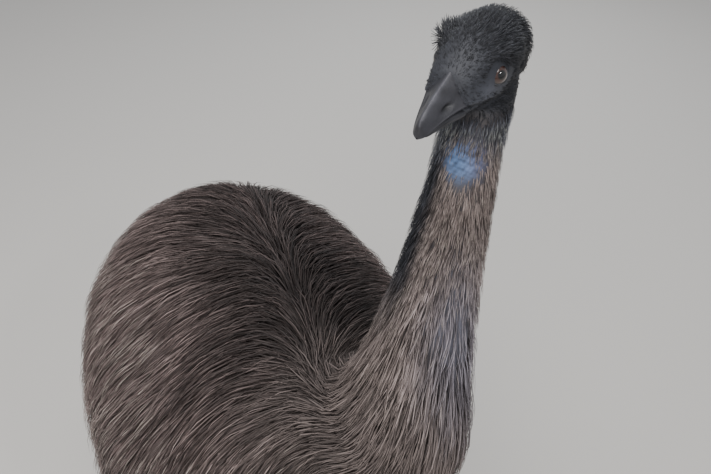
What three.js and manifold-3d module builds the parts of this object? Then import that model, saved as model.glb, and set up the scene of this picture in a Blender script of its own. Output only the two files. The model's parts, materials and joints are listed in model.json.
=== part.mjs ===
// A life-size still model of an adult emu, standing, with its head turned to its right.
// Millimetres, +Z up. The bird faces -Y and its left side is +X.
// The skin forms are lofts. The shaggy plumage is flat tapered locks, rooted in a core and
// fused with it, and thin cuts then part the whole bird into head, neck, torso, tail and legs.

import * as THREE from 'three';
import { mergeVertices } from 'three/addons/utils/BufferGeometryUtils.js';
import Module from 'manifold-3d';

const wasm = await Module();
wasm.setup();

// Gap between nodes that meet face to face
const GAP = 0.35;

// Outer outline of the plumage from breast to rump, at stations along Y
const BODY = {
  y: [-400, -340, -250, -130, 20, 170, 300, 420, 520],
  half: [1, 168, 250, 304, 312, 290, 238, 148, 1],
  top: [730, 864, 907, 938, 958, 944, 890, 797, 640],
  bottom: [729, 610, 562, 540, 530, 534, 556, 588, 639],
  middle: 0.37,
  flare: 0.2,
  lowerSquareness: 2.9,
  centre: new THREE.Vector3(0, 60, 705),
};

// The core lies inside the outline by this share of the body's size
const CORE = { shrink: 0.085, neckShare: 0.1, rings: 10, sides: 20, lowerSquareness: 2.2 };

// The drooping plume of the rump is its own piece, behind a leaning plane
const TAIL = { y: 335, z: 700, lean: 0.25 };

// The feathers part along a line that runs back from the neck, a little to the bird's left
const PARTING = { x: 62, slope: 0.05 };

// Neck: centre line from inside the torso to the head, and half widths across and fore-and-aft
const NECK = {
  line: [[20, -190, 700], [62, -275, 790], [108, -315, 880], [144, -303, 975], [167, -285, 1062],
    [186, -272, 1143], [202, -262, 1215], [217, -247, 1270], [238, -225, 1318], [247, -216, 1354]],
  across: [150, 138, 102, 70, 56, 47, 38, 34, 38, 22],
  deep: [150, 135, 98, 70, 57, 49, 41, 38, 43, 26],
  rings: 16,
  sides: 16,
  baseCut: 0.29,
  middleCut: 0.55,
  headCut: 0.83,
};

// Head: its own frame has x to the bill's tip, y to the bird's left, z up, from between the eyes
const HEAD = {
  place: [209, -239, 1353],
  facing: [-0.87, -0.49],
  x: [-76, -70, -52, -26, 0, 20, 36, 46],
  half: [1, 24, 37, 41, 38, 33, 27, 23],
  top: [0, 24, 38, 44, 43, 35, 23, 13],
  bottom: [-10, -34, -45, -46, -41, -36, -33, -31],
  middle: 0.5,
  rings: 12,
  sides: 22,
};

const EYE = { x: 1, z: 0, radius: 10.6, seat: 32.5, bulge: 3.4, depth: 8, lid: 2.6, sides: 16 };
const MOUTH = { z: -20, corner: -10, depth: 3, height: 0.9, slope: 0.14 };
const EAR = { x: -34, z: -6, radius: 4, depth: 5 };
const BILL = {
  x: [46.4, 58, 70, 82, 92, 99],
  half: [22.5, 18.5, 15, 11.5, 8, 1.5],
  top: [12.5, 8.5, 4, -2, -8, -23],
  edge: [-15.2, -15.5, -17.5, -20.5, -24.3, -28],
  lowerHalf: [20, 16.5, 13, 9.5, 6, 1.2],
  lowerBottom: [-31, -31, -30.8, -30.2, -29.4, -28.8],
  lowerShort: 0.95,
  sides: 14,
};
const NOSTRIL = { x: 66, z: -9, long: 7.5, high: 3, deep: 4 };

// Locks: each coat has a length, width and thickness of its locks and the spacing of their rows
const LOCKS = {
  body: { long: 245, wide: 92, thick: 11, rowStep: 106, alongStep: 95, root: 0.115, lie: [0.8, 0.3, -1] },
  neck: { long: 120, wide: 0.86, thick: 6, ringStep: 0.085, around: 6, from: 0.12, to: 0.8 },
  head: { long: 34, wide: 17, thick: 3.5, rings: [-60, -40, -20], around: 6, reach: 1.8 },
  thigh: { long: 0.2, wide: 0.88, thick: 7, rings: [0.44, 0.6], around: 7 },
  points: 5,
  hemClear: 490,
  seed: 20,
};

// Legs: x and y of each foot's pad, and heights of the joints
const LEG = {
  left: { side: 1, x: 108, y: 92 },
  right: { side: -1, x: -100, y: 8 },
  hockBack: 78,
  hockUp: 425,
  kneeForward: 60,
  kneeUp: 690,
  padUp: 24,
  thighCut: 525,
  hockCut: 452,
  ankleCut: 46,
};
const TOES = [
  { name: 'middle', turn: 0, reach: 118, root: 17, tip: 10, claw: 30 },
  { name: 'inner', turn: 31, reach: 78, root: 14, tip: 9, claw: 24 },
  { name: 'outer', turn: -31, reach: 76, root: 14, tip: 9, claw: 22 },
];

const COLOURS = {
  plumage: [0x574741, 0.85],
  neck: [0x6a5a52, 0.85],
  head: [0x2b2c31, 0.8],
  bill: [0x2e2e33, 0.5],
  eye: [0x3a2018, 0.1],
  leg: [0x4a4540, 0.7],
  claw: [0x24211f, 0.5],
};

// Seeded random numbers, so that every build is the same
function seeded(seed) {
  let state = seed;
  return () => {
    state = (state * 1664525 + 1013904223) % 4294967296;
    return state / 4294967296;
  };
}

// A smooth curve through stations that never overshoots them
function smoothCurve(xs, ys) {
  const last = xs.length - 1;
  const gaps = xs.slice(1).map((x, i) => x - xs[i]);
  const rises = gaps.map((gap, i) => (ys[i + 1] - ys[i]) / gap);
  const slopes = xs.map((_, i) => {
    if (i === 0) return rises[0];
    if (i === last) return rises[last - 1];
    if (rises[i - 1] * rises[i] <= 0) return 0;
    const before = 2 * gaps[i] + gaps[i - 1];
    const after = gaps[i] + 2 * gaps[i - 1];
    return (before + after) / (before / rises[i - 1] + after / rises[i]);
  });
  return (x) => {
    const at = Math.min(Math.max(x, xs[0]), xs[last]);
    let i = 0;
    while (i < last - 1 && at > xs[i + 1]) i += 1;
    const t = (at - xs[i]) / gaps[i];
    const a = (1 + 2 * t) * (1 - t) ** 2 * ys[i] + t * (1 - t) ** 2 * gaps[i] * slopes[i];
    const b = t * t * (3 - 2 * t) * ys[i + 1] + t * t * (t - 1) * gaps[i] * slopes[i + 1];
    return a + b;
  };
}

// A closed surface from rings of points, with a fan over each end
function loft(rings) {
  const sides = rings[0].length;
  const positions = rings.flat().flatMap((p) => [p.x, p.y, p.z]);
  const index = [];
  for (let r = 0; r < rings.length - 1; r += 1) {
    for (let s = 0; s < sides; s += 1) {
      const a = r * sides + s;
      const b = r * sides + ((s + 1) % sides);
      index.push(a, b, b + sides, a, b + sides, a + sides);
    }
  }
  [0, rings.length - 1].forEach((r, end) => {
    const centre = rings[r].reduce((sum, p) => sum.add(p), new THREE.Vector3()).divideScalar(sides);
    const pole = positions.length / 3;
    positions.push(centre.x, centre.y, centre.z);
    for (let s = 0; s < sides; s += 1) {
      const a = r * sides + s;
      const b = r * sides + ((s + 1) % sides);
      if (end === 0) index.push(pole, b, a);
      else index.push(pole, a, b);
    }
  });
  return closedShape(positions, index);
}

// Geometry from vertices and triangles, turned so that its faces point outwards
function closedShape(positions, index) {
  let volume = 0;
  const corner = (i) => new THREE.Vector3().fromArray(positions, 3 * i);
  for (let i = 0; i < index.length; i += 3) {
    volume += corner(index[i]).dot(corner(index[i + 1]).cross(corner(index[i + 2])));
  }
  if (volume < 0) index.reverse();
  const geometry = new THREE.BufferGeometry();
  geometry.setAttribute('position', new THREE.Float32BufferAttribute(positions, 3));
  geometry.setIndex(index);
  return geometry;
}

// A lock: a flat strip with a crowned back that narrows to a point, along a path of points
function lockForm(path, outs, wide, thick) {
  const last = path.length - 1;
  const positions = [];
  const index = [];
  for (let i = 0; i < last; i += 1) {
    const t = i / last;
    const along = path[i + 1].clone().sub(path[Math.max(i - 1, 0)]).normalize();
    const across = new THREE.Vector3().crossVectors(along, outs[i]).normalize();
    const width = wide * (0.62 + 1.1 * t - 1.45 * t * t) / 2;
    const back = path[i].clone().addScaledVector(outs[i], thick * (1 - 0.55 * t));
    const sides = [path[i].clone().addScaledVector(across, width), path[i].clone().addScaledVector(across, -width)];
    [...sides, back].forEach((p) => positions.push(p.x, p.y, p.z));
    if (i > 0) {
      for (let k = 0; k < 3; k += 1) {
        const a = 3 * (i - 1) + k;
        const b = 3 * (i - 1) + ((k + 1) % 3);
        index.push(a, b, b + 3, a, b + 3, a + 3);
      }
    }
  }
  const tip = positions.length / 3;
  positions.push(...path[last].toArray());
  index.push(0, 2, 1);
  for (let k = 0; k < 3; k += 1) index.push(tip - 3 + k, tip - 3 + ((k + 1) % 3), tip);
  return closedShape(positions, index);
}

// Joining and cutting of closed shapes
function solid(geometry) {
  const bare = geometry.clone();
  bare.deleteAttribute('normal');
  bare.deleteAttribute('uv');
  const merged = mergeVertices(bare, 1e-4);
  const vertProperties = new Float32Array(merged.attributes.position.array);
  const triVerts = new Uint32Array(merged.index.array);
  return new wasm.Manifold(new wasm.Mesh({ numProp: 3, vertProperties, triVerts }));
}

function join(geometries) {
  return wasm.Manifold.union(geometries.map(solid));
}

function shape(manifold) {
  const mesh = manifold.getMesh();
  const geometry = new THREE.BufferGeometry();
  geometry.setAttribute('position', new THREE.Float32BufferAttribute(mesh.vertProperties, 3));
  geometry.setIndex(Array.from(mesh.triVerts));
  return geometry;
}

function largest(manifold) {
  return manifold.decompose().reduce((best, piece) => (piece.volume() > best.volume() ? piece : best));
}

// Half an ellipse above and half a squarer, flaring one below a section's middle height
function sectionPoint(angle, half, up, down, squareness, flare) {
  const across = Math.sin(angle);
  const along = Math.cos(angle);
  if (along >= 0) return [half * across, up * along];
  const power = 2 / squareness;
  const drop = Math.abs(along) ** power;
  return [half * (1 + flare * drop) * Math.sign(across) * Math.abs(across) ** power, -down * drop];
}

const bodyHalf = smoothCurve(BODY.y, BODY.half);
const bodyTop = smoothCurve(BODY.y, BODY.top);
const bodyBottom = smoothCurve(BODY.y, BODY.bottom);

// A point of the body's outline, drawn in towards its centre by a share of its size
function bodyPoint(y, angle, shrink, squareness) {
  const top = bodyTop(y);
  const bottom = bodyBottom(y);
  const middle = bottom + BODY.middle * (top - bottom);
  const [x, z] = sectionPoint(angle, bodyHalf(y), top - middle, middle - bottom, squareness, BODY.flare);
  return new THREE.Vector3(x, y, middle + z).lerp(BODY.centre, shrink);
}

function spread(from, to, count, ease) {
  return Array.from({ length: count }, (_, i) => {
    const t = i / (count - 1);
    return from + (to - from) * (ease ? (1 - Math.cos(Math.PI * t)) / 2 : t);
  });
}

function turns(sides) {
  return Array.from({ length: sides }, (_, i) => (2 * Math.PI * i) / sides);
}

function bodyCore(shrink) {
  const ys = spread(BODY.y[0], BODY.y.at(-1), CORE.rings + 2, true).slice(1, -1);
  const rings = ys.map((y) => turns(CORE.sides).map((a) => bodyPoint(y, a, shrink, CORE.lowerSquareness)));
  return loft(rings);
}

// How far out a point lies, as a share of the outline's own reach in that direction
function bodyReach(point) {
  const ray = point.clone().sub(BODY.centre);
  let low = 0;
  let high = 900 / ray.length();
  for (let i = 0; i < 16; i += 1) {
    const factor = (low + high) / 2;
    const p = BODY.centre.clone().addScaledVector(ray, factor);
    if (insideBody(p)) low = factor;
    else high = factor;
  }
  return 1 / low;
}

function insideBody(p) {
  if (p.y <= BODY.y[0] || p.y >= BODY.y.at(-1)) return false;
  const top = bodyTop(p.y);
  const bottom = bodyBottom(p.y);
  const middle = bottom + BODY.middle * (top - bottom);
  const half = bodyHalf(p.y);
  if (p.z >= middle) return (p.x / half) ** 2 + ((p.z - middle) / (top - middle)) ** 2 < 1;
  const drop = (middle - p.z) / (middle - bottom);
  const wide = Math.abs(p.x) / (half * (1 + BODY.flare * Math.min(drop, 1)));
  return wide ** BODY.lowerSquareness + drop ** BODY.lowerSquareness < 1;
}

function bodyNormal(point) {
  const step = 4;
  const slope = (axis) => {
    const ahead = point.clone().addScaledVector(axis, step);
    const behind = point.clone().addScaledVector(axis, -step);
    return bodyReach(ahead) - bodyReach(behind);
  };
  const axes = [new THREE.Vector3(1, 0, 0), new THREE.Vector3(0, 1, 0), new THREE.Vector3(0, 0, 1)];
  return new THREE.Vector3(...axes.map(slope)).normalize();
}

// A body lock starts in the core, follows the lie of the coat and ends on the outline;
// past the widest part of the flank it hangs free
function bodyLock(start, side, spec, random) {
  const path = [];
  const outs = [];
  const long = spec.long * (0.85 + 0.3 * random());
  const drift = 0.35 * (random() - 0.5);
  let at = start.clone();
  let out = bodyNormal(start);
  let free = false;
  for (let i = 0; i < LOCKS.points; i += 1) {
    const t = i / (LOCKS.points - 1);
    if (!free) {
      const depth = spec.root * (1 - t) ** 2 + 0.02 * random();
      at = BODY.centre.clone().addScaledVector(at.clone().sub(BODY.centre), (1 - depth) / bodyReach(at));
      out = bodyNormal(at);
    }
    path.push(at.clone());
    outs.push(out.clone());
    const step = new THREE.Vector3(side * spec.lie[0], spec.lie[1] + drift, spec.lie[2]);
    step.addScaledVector(out, -step.dot(out));
    free = free || out.z < -0.12;
    if (free) step.set(side * 0.12, drift * 0.4, -1);
    at.addScaledVector(step.normalize(), long / (LOCKS.points - 1));
    at.z = Math.max(at.z, LOCKS.hemClear + 18 * random());
  }
  return lockForm(path, outs, spec.wide, spec.thick);
}

function bodyLocks() {
  const spec = LOCKS.body;
  const random = seeded(LOCKS.seed);
  const locks = [];
  const length = BODY.y.at(-1) - BODY.y[0];
  const rings = Math.round((length * 1.25) / spec.alongStep);
  spread(0, 1, rings + 2).slice(1, -1).forEach((u, ring) => {
    const y = BODY.y[0] + (length * (1 - Math.cos(Math.PI * u))) / 2;
    const parting = Math.asin(Math.min((PARTING.x + PARTING.slope * y) / (bodyHalf(y) + 60), 0.5));
    [-1, 1].forEach((side) => {
      const half = bodyHalf(y);
      const deep = (bodyTop(y) - bodyBottom(y)) / 2;
      const reach = Math.PI * 0.62 * Math.sqrt((half * half + deep * deep) / 2);
      const count = Math.max(2, Math.round(reach / spec.rowStep));
      for (let k = 0; k < count; k += 1) {
        const place = (k + (ring % 2 ? 0.15 : 0.62)) / count;
        const angle = parting + side * (0.03 + Math.PI * 0.62 * place);
        locks.push(bodyLock(bodyPoint(y, angle, spec.root, BODY.lowerSquareness), side, spec, random));
      }
    });
  });
  return locks;
}

const neckLine = new THREE.CatmullRomCurve3(NECK.line.map((p) => new THREE.Vector3(...p)));
const neckStations = NECK.line.map((_, i) => i / (NECK.line.length - 1));
const neckAcross = smoothCurve(neckStations, NECK.across);
const neckDeep = smoothCurve(neckStations, NECK.deep);

// The neck's own directions at a place along it: along, to the bird's left, and to the front
function neckFrame(t) {
  const along = neckLine.getTangent(t);
  const front = new THREE.Vector3(-0.25, -1, 0);
  front.addScaledVector(along, -front.dot(along)).normalize();
  const left = new THREE.Vector3().crossVectors(along, front).normalize();
  return { along, left, front, at: neckLine.getPoint(t) };
}

// A point of the neck's outline, drawn in by a share: angle 0 is its front and a right angle its left
function neckPoint(t, angle, share) {
  const { left, front, at } = neckFrame(t);
  return at
    .addScaledVector(left, neckAcross(t) * (1 - share) * Math.sin(angle))
    .addScaledVector(front, neckDeep(t) * (1 - share) * Math.cos(angle));
}

function neckCore(share) {
  return loft(spread(0, 1, NECK.rings).map((t) => turns(NECK.sides).map((a) => neckPoint(t, a, share))));
}

// Neck locks run down the neck and stand out a little at their tips
function neckLocks() {
  const spec = LOCKS.neck;
  const random = seeded(LOCKS.seed + 1);
  const locks = [];
  for (let t = spec.from, ring = 0; t < spec.to; t += spec.ringStep, ring += 1) {
    const flare = neckAcross(t) / neckAcross(0.5);
    const count = Math.round(spec.around * Math.sqrt(flare));
    const span = spec.long * (0.6 + 0.4 * flare) / neckLine.getLength();
    for (let k = 0; k < count; k += 1) {
      const angle = (2 * Math.PI * (k + 0.5 * (ring % 2) + 0.3 * random())) / count;
      const wide = spec.wide * (2 * Math.PI * neckAcross(t)) / count;
      const places = spread(0, 1, LOCKS.points).map((u) => Math.max(t - span * u * (0.9 + 0.3 * random()), 0));
      const path = places.map((place, i) => neckPoint(place, angle, CORE.neckShare * 1.6 * (1 - i / 4) ** 1.5));
      const outs = places.map((place, i) => path[i].clone().sub(neckLine.getPoint(place)).normalize());
      locks.push(lockForm(path, outs, wide, spec.thick * Math.min(flare, 1.5)));
    }
  }
  return locks;
}

// The head's frame as a matrix
const headMatrix = new THREE.Matrix4();
{
  const ahead = new THREE.Vector3(...HEAD.facing, 0).normalize();
  const up = new THREE.Vector3(0, 0, 1);
  const left = new THREE.Vector3().crossVectors(up, ahead);
  headMatrix.makeBasis(ahead, left, up).setPosition(...HEAD.place);
}

// Short bristly locks over the crown and nape
function headLocks() {
  const spec = LOCKS.head;
  const random = seeded(LOCKS.seed + 2);
  const half = smoothCurve(HEAD.x, HEAD.half);
  const top = smoothCurve(HEAD.x, HEAD.top);
  const bottom = smoothCurve(HEAD.x, HEAD.bottom);
  return spec.rings.flatMap((x, ring) => spread(-spec.reach, spec.reach, spec.around).map((turn) => {
    const angle = turn * (1 - 0.12 * (ring % 2)) + 0.1 * (random() - 0.5);
    const path = spread(0, 1, 4).map((u) => {
      const back = Math.max(x - spec.long * u * (0.8 + 0.3 * random()), HEAD.x[0] + 3);
      const centre = (top(back) + bottom(back)) / 2;
      const [y, z] = sectionPoint(angle, half(back), top(back) - centre, centre - bottom(back), 2, 0);
      const grow = 0.93 + 0.14 * u;
      return new THREE.Vector3(back - 7 * u * u, y * grow, centre + z * grow);
    });
    const outs = path.map((p) => new THREE.Vector3(-0.2, p.y, p.z).setX(-4).normalize());
    return inHead(lockForm(path, outs, spec.wide, spec.thick));
  }));
}

function inHead(geometry) {
  return geometry.clone().applyMatrix4(headMatrix);
}

// A loft along the head's x from half widths, top and bottom heights
function headLoft(xs, half, top, bottom, middle, sides) {
  const rings = xs.map((x) => turns(sides).map((a) => {
    const centre = bottom(x) + middle * (top(x) - bottom(x));
    const [y, z] = sectionPoint(a, half(x), top(x) - centre, centre - bottom(x), 2, 0);
    return new THREE.Vector3(x, y, centre + z);
  }));
  return loft(rings);
}

function skull() {
  const xs = spread(HEAD.x[0], HEAD.x.at(-1), HEAD.rings, true);
  const half = smoothCurve(HEAD.x, HEAD.half);
  const top = smoothCurve(HEAD.x, HEAD.top);
  const bottom = smoothCurve(HEAD.x, HEAD.bottom);
  return headLoft(xs, half, top, bottom, HEAD.middle, HEAD.sides);
}

// The eye is a round plug with a bulging front, turned to look out to one side
function eyePlug(side, radius, depth, bulge) {
  const front = spread(0, 1, 5).map((t) => new THREE.Vector2(radius * t, bulge * (1 - t * t)));
  const profile = [new THREE.Vector2(0, -depth), new THREE.Vector2(radius, -depth), ...front.reverse()];
  return new THREE.LatheGeometry(profile, EYE.sides)
    .rotateX(side > 0 ? 0 : Math.PI)
    .translate(EYE.x, side * EYE.seat, EYE.z);
}

function lid(side) {
  return new THREE.TorusGeometry(EYE.radius + EYE.lid * 0.75, EYE.lid, 6, EYE.sides)
    .rotateX(Math.PI / 2)
    .translate(EYE.x, side * (EYE.seat - 0.6), EYE.z);
}

function headSolid(neck) {
  const flesh = [skull(), lid(1), lid(-1)].map(inHead);
  const cuts = [1, -1].flatMap((side) => [
    eyePlug(side, EYE.radius + GAP, EYE.depth + GAP, EYE.bulge + 10),
    new THREE.SphereGeometry(EAR.radius, 10, 8).translate(EAR.x, side * 34, EAR.z),
    new THREE.BoxGeometry(60, 20, MOUTH.height).rotateY(-MOUTH.slope)
      .translate(MOUTH.corner + 30, side * (10 + smoothCurve(HEAD.x, HEAD.half)(20) - MOUTH.depth), MOUTH.z),
  ]).map(inHead);
  return join([...flesh, neck]).subtract(join(cuts));
}

function billSolid(half, top, bottom, length) {
  const xs = spread(BILL.x[0], BILL.x[0] + (BILL.x.at(-1) - BILL.x[0]) * length, 9);
  return headLoft(xs, half, top, bottom, 0.35, BILL.sides);
}

function upperBill() {
  const edge = smoothCurve(BILL.x, BILL.edge);
  const whole = billSolid(smoothCurve(BILL.x, BILL.half), smoothCurve(BILL.x, BILL.top), edge, 1);
  const nostrils = [1, -1].map((side) => new THREE.SphereGeometry(1, 12, 8)
    .scale(NOSTRIL.long, NOSTRIL.deep, NOSTRIL.high)
    .translate(NOSTRIL.x, side * (smoothCurve(BILL.x, BILL.half)(NOSTRIL.x) - 1.2), NOSTRIL.z));
  return solid(inHead(whole)).subtract(join(nostrils.map(inHead)));
}

function lowerBill() {
  const edge = smoothCurve(BILL.x, BILL.edge.map((z) => z - 0.5));
  const half = smoothCurve(BILL.x, BILL.lowerHalf);
  const bottom = smoothCurve(BILL.x, BILL.lowerBottom);
  return solid(inHead(billSolid(half, edge, bottom, BILL.lowerShort)));
}

// A limb from round sections: each row is x, y, z, half width and half depth
function limb(rows, sides, steps) {
  const at = rows.map((_, i) => i / (rows.length - 1));
  const column = (c) => smoothCurve(at, rows.map((row) => row[c]));
  const [x, y, z, wide, deep] = [0, 1, 2, 3, 4].map(column);
  return loft(spread(0, 1, steps).map((t) => turns(sides).map((a) => new THREE.Vector3(
    x(t) + wide(t) * Math.sin(a),
    y(t) + deep(t) * Math.cos(a),
    z(t),
  ))));
}

// Locks down a thigh, over the form that the rows give
function thighLocks(rows, random) {
  const spec = LOCKS.thigh;
  const at = rows.map((_, i) => i / (rows.length - 1));
  const [x, y, z, wide, deep] = [0, 1, 2, 3, 4].map((c) => smoothCurve(at, rows.map((row) => row[c])));
  const point = (t, angle, grow) => new THREE.Vector3(
    x(t) + (wide(t) + grow) * Math.sin(angle),
    y(t) + (deep(t) + grow) * Math.cos(angle),
    z(t),
  );
  return spec.rings.flatMap((t, ring) => turns(spec.around).map((turn) => {
    const angle = turn + (Math.PI / spec.around) * (ring % 2) + 0.2 * (random() - 0.5);
    const path = spread(0, 1, 4).map((u) => point(Math.min(t + spec.long * u, 0.9), angle, 9 * u - 6));
    const outs = path.map(() => new THREE.Vector3(Math.sin(angle), Math.cos(angle), 0));
    const width = (spec.wide * Math.PI * (wide(t) + deep(t))) / spec.around;
    return lockForm(path, outs, width, spec.thick);
  }));
}

// Feathered thigh and bare shank, from the knee inside the body to the foot
function legForm(leg) {
  const hockY = leg.y + LEG.hockBack;
  const kneeY = leg.y - LEG.kneeForward;
  const out = leg.side * 14;
  const thighRows = [
    [leg.x + out, kneeY, LEG.kneeUp, 76, 120],
    [leg.x + out * 0.8, kneeY + 45, 600, 72, 110],
    [leg.x + out * 0.6, kneeY + 84, 535, 58, 84],
    [leg.x + out * 0.4, kneeY + 112, 495, 45, 58],
    [leg.x + out * 0.2, hockY - 8, 460, 34, 39],
    [leg.x, hockY, LEG.hockUp, 27, 30],
  ];
  return {
    thigh: limb(thighRows, 14, 8),
    locks: thighLocks(thighRows, seeded(LOCKS.seed + 3 + leg.side)),
    shank: limb([
      [leg.x + out * 0.2, hockY - 2, LEG.hockUp + 45, 27, 31],
      [leg.x, hockY + 2, LEG.hockUp, 30, 34],
      [leg.x, hockY - 6, LEG.hockUp - 45, 23, 27],
      [leg.x, leg.y + 42, 240, 18, 21],
      [leg.x, leg.y + 12, 90, 19, 20],
      [leg.x, leg.y + 2, LEG.padUp + 4, 25, 25],
    ], 12, 10),
  };
}

function toe(leg, spec, from, to, rootRadius, tipRadius, tipDrop) {
  const turn = THREE.MathUtils.degToRad(spec.turn) * leg.side;
  const direction = new THREE.Vector3(-Math.sin(turn), -Math.cos(turn), 0);
  const across = new THREE.Vector3(-direction.y, direction.x, 0);
  const rings = spread(0, 1, 5).map((t) => {
    const radius = rootRadius + (tipRadius - rootRadius) * t;
    const knuckle = 1 + 0.08 * Math.cos(4 * Math.PI * t);
    const centre = new THREE.Vector3(leg.x, leg.y, radius * 0.72 - tipDrop * t * t);
    centre.addScaledVector(direction, from + (to - from) * t);
    return turns(8).map((a) => centre.clone()
      .addScaledVector(across, radius * knuckle * Math.cos(a))
      .add(new THREE.Vector3(0, 0, radius * knuckle * Math.sin(a))));
  });
  return loft(rings);
}

// Cutters: a thin slab square to a direction, and everything under the floor
function slab(centre, normal, size) {
  const turn = new THREE.Quaternion().setFromUnitVectors(new THREE.Vector3(0, 0, 1), normal.clone().normalize());
  return new THREE.BoxGeometry(size, size, GAP).applyQuaternion(turn).translate(...centre.toArray());
}

const floorBlock = new THREE.BoxGeometry(3000, 3000, 200).translate(0, 0, -100);

function footSolid(leg) {
  const pad = new THREE.SphereGeometry(1, 14, 8).scale(27, 32, 20).translate(leg.x, leg.y + 2, 17);
  const toes = TOES.map((spec) => toe(leg, spec, 0, spec.reach, spec.root, spec.tip, 0));
  return [pad, ...toes];
}

function clawSolid(leg, spec) {
  const claw = toe(leg, spec, spec.reach + GAP, spec.reach + spec.claw, spec.tip * 0.82, 1.2, 1);
  return solid(claw).subtract(solid(floorBlock));
}

// The whole bird, parted by thin cuts into named pieces
function partedBird() {
  const neckCut = (t, size) => {
    const { at, along } = neckFrame(t);
    return slab(at, along, size);
  };
  const legs = [LEG.left, LEG.right];
  const forms = legs.map(legForm);
  const flesh = join([
    bodyCore(CORE.shrink),
    ...bodyLocks(),
    ...neckLocks(),
    ...headLocks(),
    ...forms.flatMap((form) => [form.thigh, form.shank, ...form.locks]),
    ...legs.flatMap(footSolid),
  ]);
  const whole = headSolid(neckCore(CORE.neckShare)).add(flesh);
  const cuts = [
    neckCut(NECK.baseCut, 330),
    neckCut(NECK.middleCut, 200),
    neckCut(NECK.headCut, 130),
    slab(new THREE.Vector3(0, TAIL.y, TAIL.z), new THREE.Vector3(0, 1, TAIL.lean), 900),
    ...legs.flatMap((leg, i) => [
      slab(new THREE.Vector3(leg.x, leg.y + 30, LEG.thighCut), new THREE.Vector3(0, 0, 1), 240),
      slab(new THREE.Vector3(leg.x, leg.y + LEG.hockBack, LEG.hockCut), new THREE.Vector3(0, 0, 1), 120),
      slab(new THREE.Vector3(leg.x, leg.y, LEG.ankleCut), new THREE.Vector3(0, 0, 1), 110),
    ]),
    floorBlock,
  ];
  return whole.subtract(join(cuts)).decompose();
}

// Each piece of flesh takes the name whose reference point lies nearest to its middle
function fleshNodes() {
  const legNames = (leg, side) => [
    [`thigh_${side}`, [leg.x, leg.y + 70, 490], 'plumage'],
    [`shank_${side}`, [leg.x, leg.y + 50, 250], 'leg'],
    [`foot_${side}`, [leg.x, leg.y - 40, 20], 'leg'],
  ];
  const named = [
    ['torso', [0, 0, 730], 'plumage'],
    ['tail', [0, 420, 700], 'plumage'],
    ['neck_lower', neckLine.getPoint((NECK.baseCut + NECK.middleCut) / 2).toArray(), 'neck'],
    ['neck_upper', neckLine.getPoint((NECK.middleCut + NECK.headCut) / 2).toArray(), 'neck'],
    ['head', HEAD.place, 'head'],
    ...legNames(LEG.left, 'left'),
    ...legNames(LEG.right, 'right'),
  ].map(([name, point, colour]) => ({ name, colour, point: new THREE.Vector3(...point), piece: null }));
  partedBird().forEach((piece) => {
    const box = piece.boundingBox();
    const middle = new THREE.Vector3(...box.min).add(new THREE.Vector3(...box.max)).multiplyScalar(0.5);
    const nearest = named.reduce((best, node) => (
      node.point.distanceTo(middle) < best.point.distanceTo(middle) ? node : best));
    if (!nearest.piece || piece.volume() > nearest.piece.volume()) nearest.piece = piece;
  });
  return named.map(({ name, piece, colour }) => [name, shape(piece), colour]);
}

function hardNodes() {
  const eyes = [['left', 1], ['right', -1]].map(([name, side]) => [
    `eye_${name}`, inHead(eyePlug(side, EYE.radius, EYE.depth, EYE.bulge)), 'eye']);
  const claws = ['left', 'right'].flatMap((side) => TOES.map((spec) => [
    `claw_${spec.name}_${side}`, shape(clawSolid(LEG[side], spec)), 'claw']));
  return [
    ['bill_upper', shape(upperBill()), 'bill'],
    ['bill_lower', shape(lowerBill()), 'bill'],
    ...eyes,
    ...claws,
  ];
}

const emu = new THREE.Group();
[...fleshNodes(), ...hardNodes()].forEach(([name, geometry, look]) => {
  const [colour, roughness] = COLOURS[look];
  const material = new THREE.MeshStandardMaterial({ color: colour, roughness, metalness: 0 });
  const mesh = new THREE.Mesh(geometry, material);
  mesh.name = name;
  emu.add(mesh);
});

// The origin is on the floor under the middle of the bird's box
const box = new THREE.Box3().setFromObject(emu);
emu.position.set(-(box.min.x + box.max.x) / 2, -(box.min.y + box.max.y) / 2, -box.min.z);
emu.updateMatrixWorld(true);

export default emu;
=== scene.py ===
# A still, life-size emu: skin, plumage, head, bill, eyes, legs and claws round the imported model.
# The forms are given in metres in the bird's own frame, which faces -Y with its left side at +X,
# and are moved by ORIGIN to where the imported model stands.
import json
import math

import bmesh
import bpy
import numpy as np
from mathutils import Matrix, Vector
from mathutils.bvhtree import BVHTree


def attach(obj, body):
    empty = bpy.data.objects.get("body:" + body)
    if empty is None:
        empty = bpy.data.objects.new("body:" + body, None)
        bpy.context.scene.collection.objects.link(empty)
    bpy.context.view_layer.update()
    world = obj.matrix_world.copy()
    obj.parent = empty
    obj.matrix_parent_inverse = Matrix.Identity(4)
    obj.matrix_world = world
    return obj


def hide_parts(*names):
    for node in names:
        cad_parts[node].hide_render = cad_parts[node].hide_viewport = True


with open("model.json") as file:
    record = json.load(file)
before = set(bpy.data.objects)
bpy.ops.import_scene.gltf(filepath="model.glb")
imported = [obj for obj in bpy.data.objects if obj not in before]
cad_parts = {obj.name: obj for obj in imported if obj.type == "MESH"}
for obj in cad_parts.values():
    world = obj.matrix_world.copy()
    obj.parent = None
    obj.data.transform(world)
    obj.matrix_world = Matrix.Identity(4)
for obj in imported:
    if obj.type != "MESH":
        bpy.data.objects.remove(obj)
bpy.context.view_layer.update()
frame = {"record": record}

# The left sole's mount shows where the bird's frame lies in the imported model's
LEFT_SOLE = (0.108, 0.078)
left_mount = frame["record"]["mounts"][0]["pos_m"]
ORIGIN = np.array([left_mount[0] - LEFT_SOLE[0], left_mount[1] - LEFT_SOLE[1], 0.0])

UP = np.array([0.0, 0.0, 1.0])

# Squareness of the lower half of every section, of which 2 is an ellipse
SQUARE = 2.2

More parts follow.
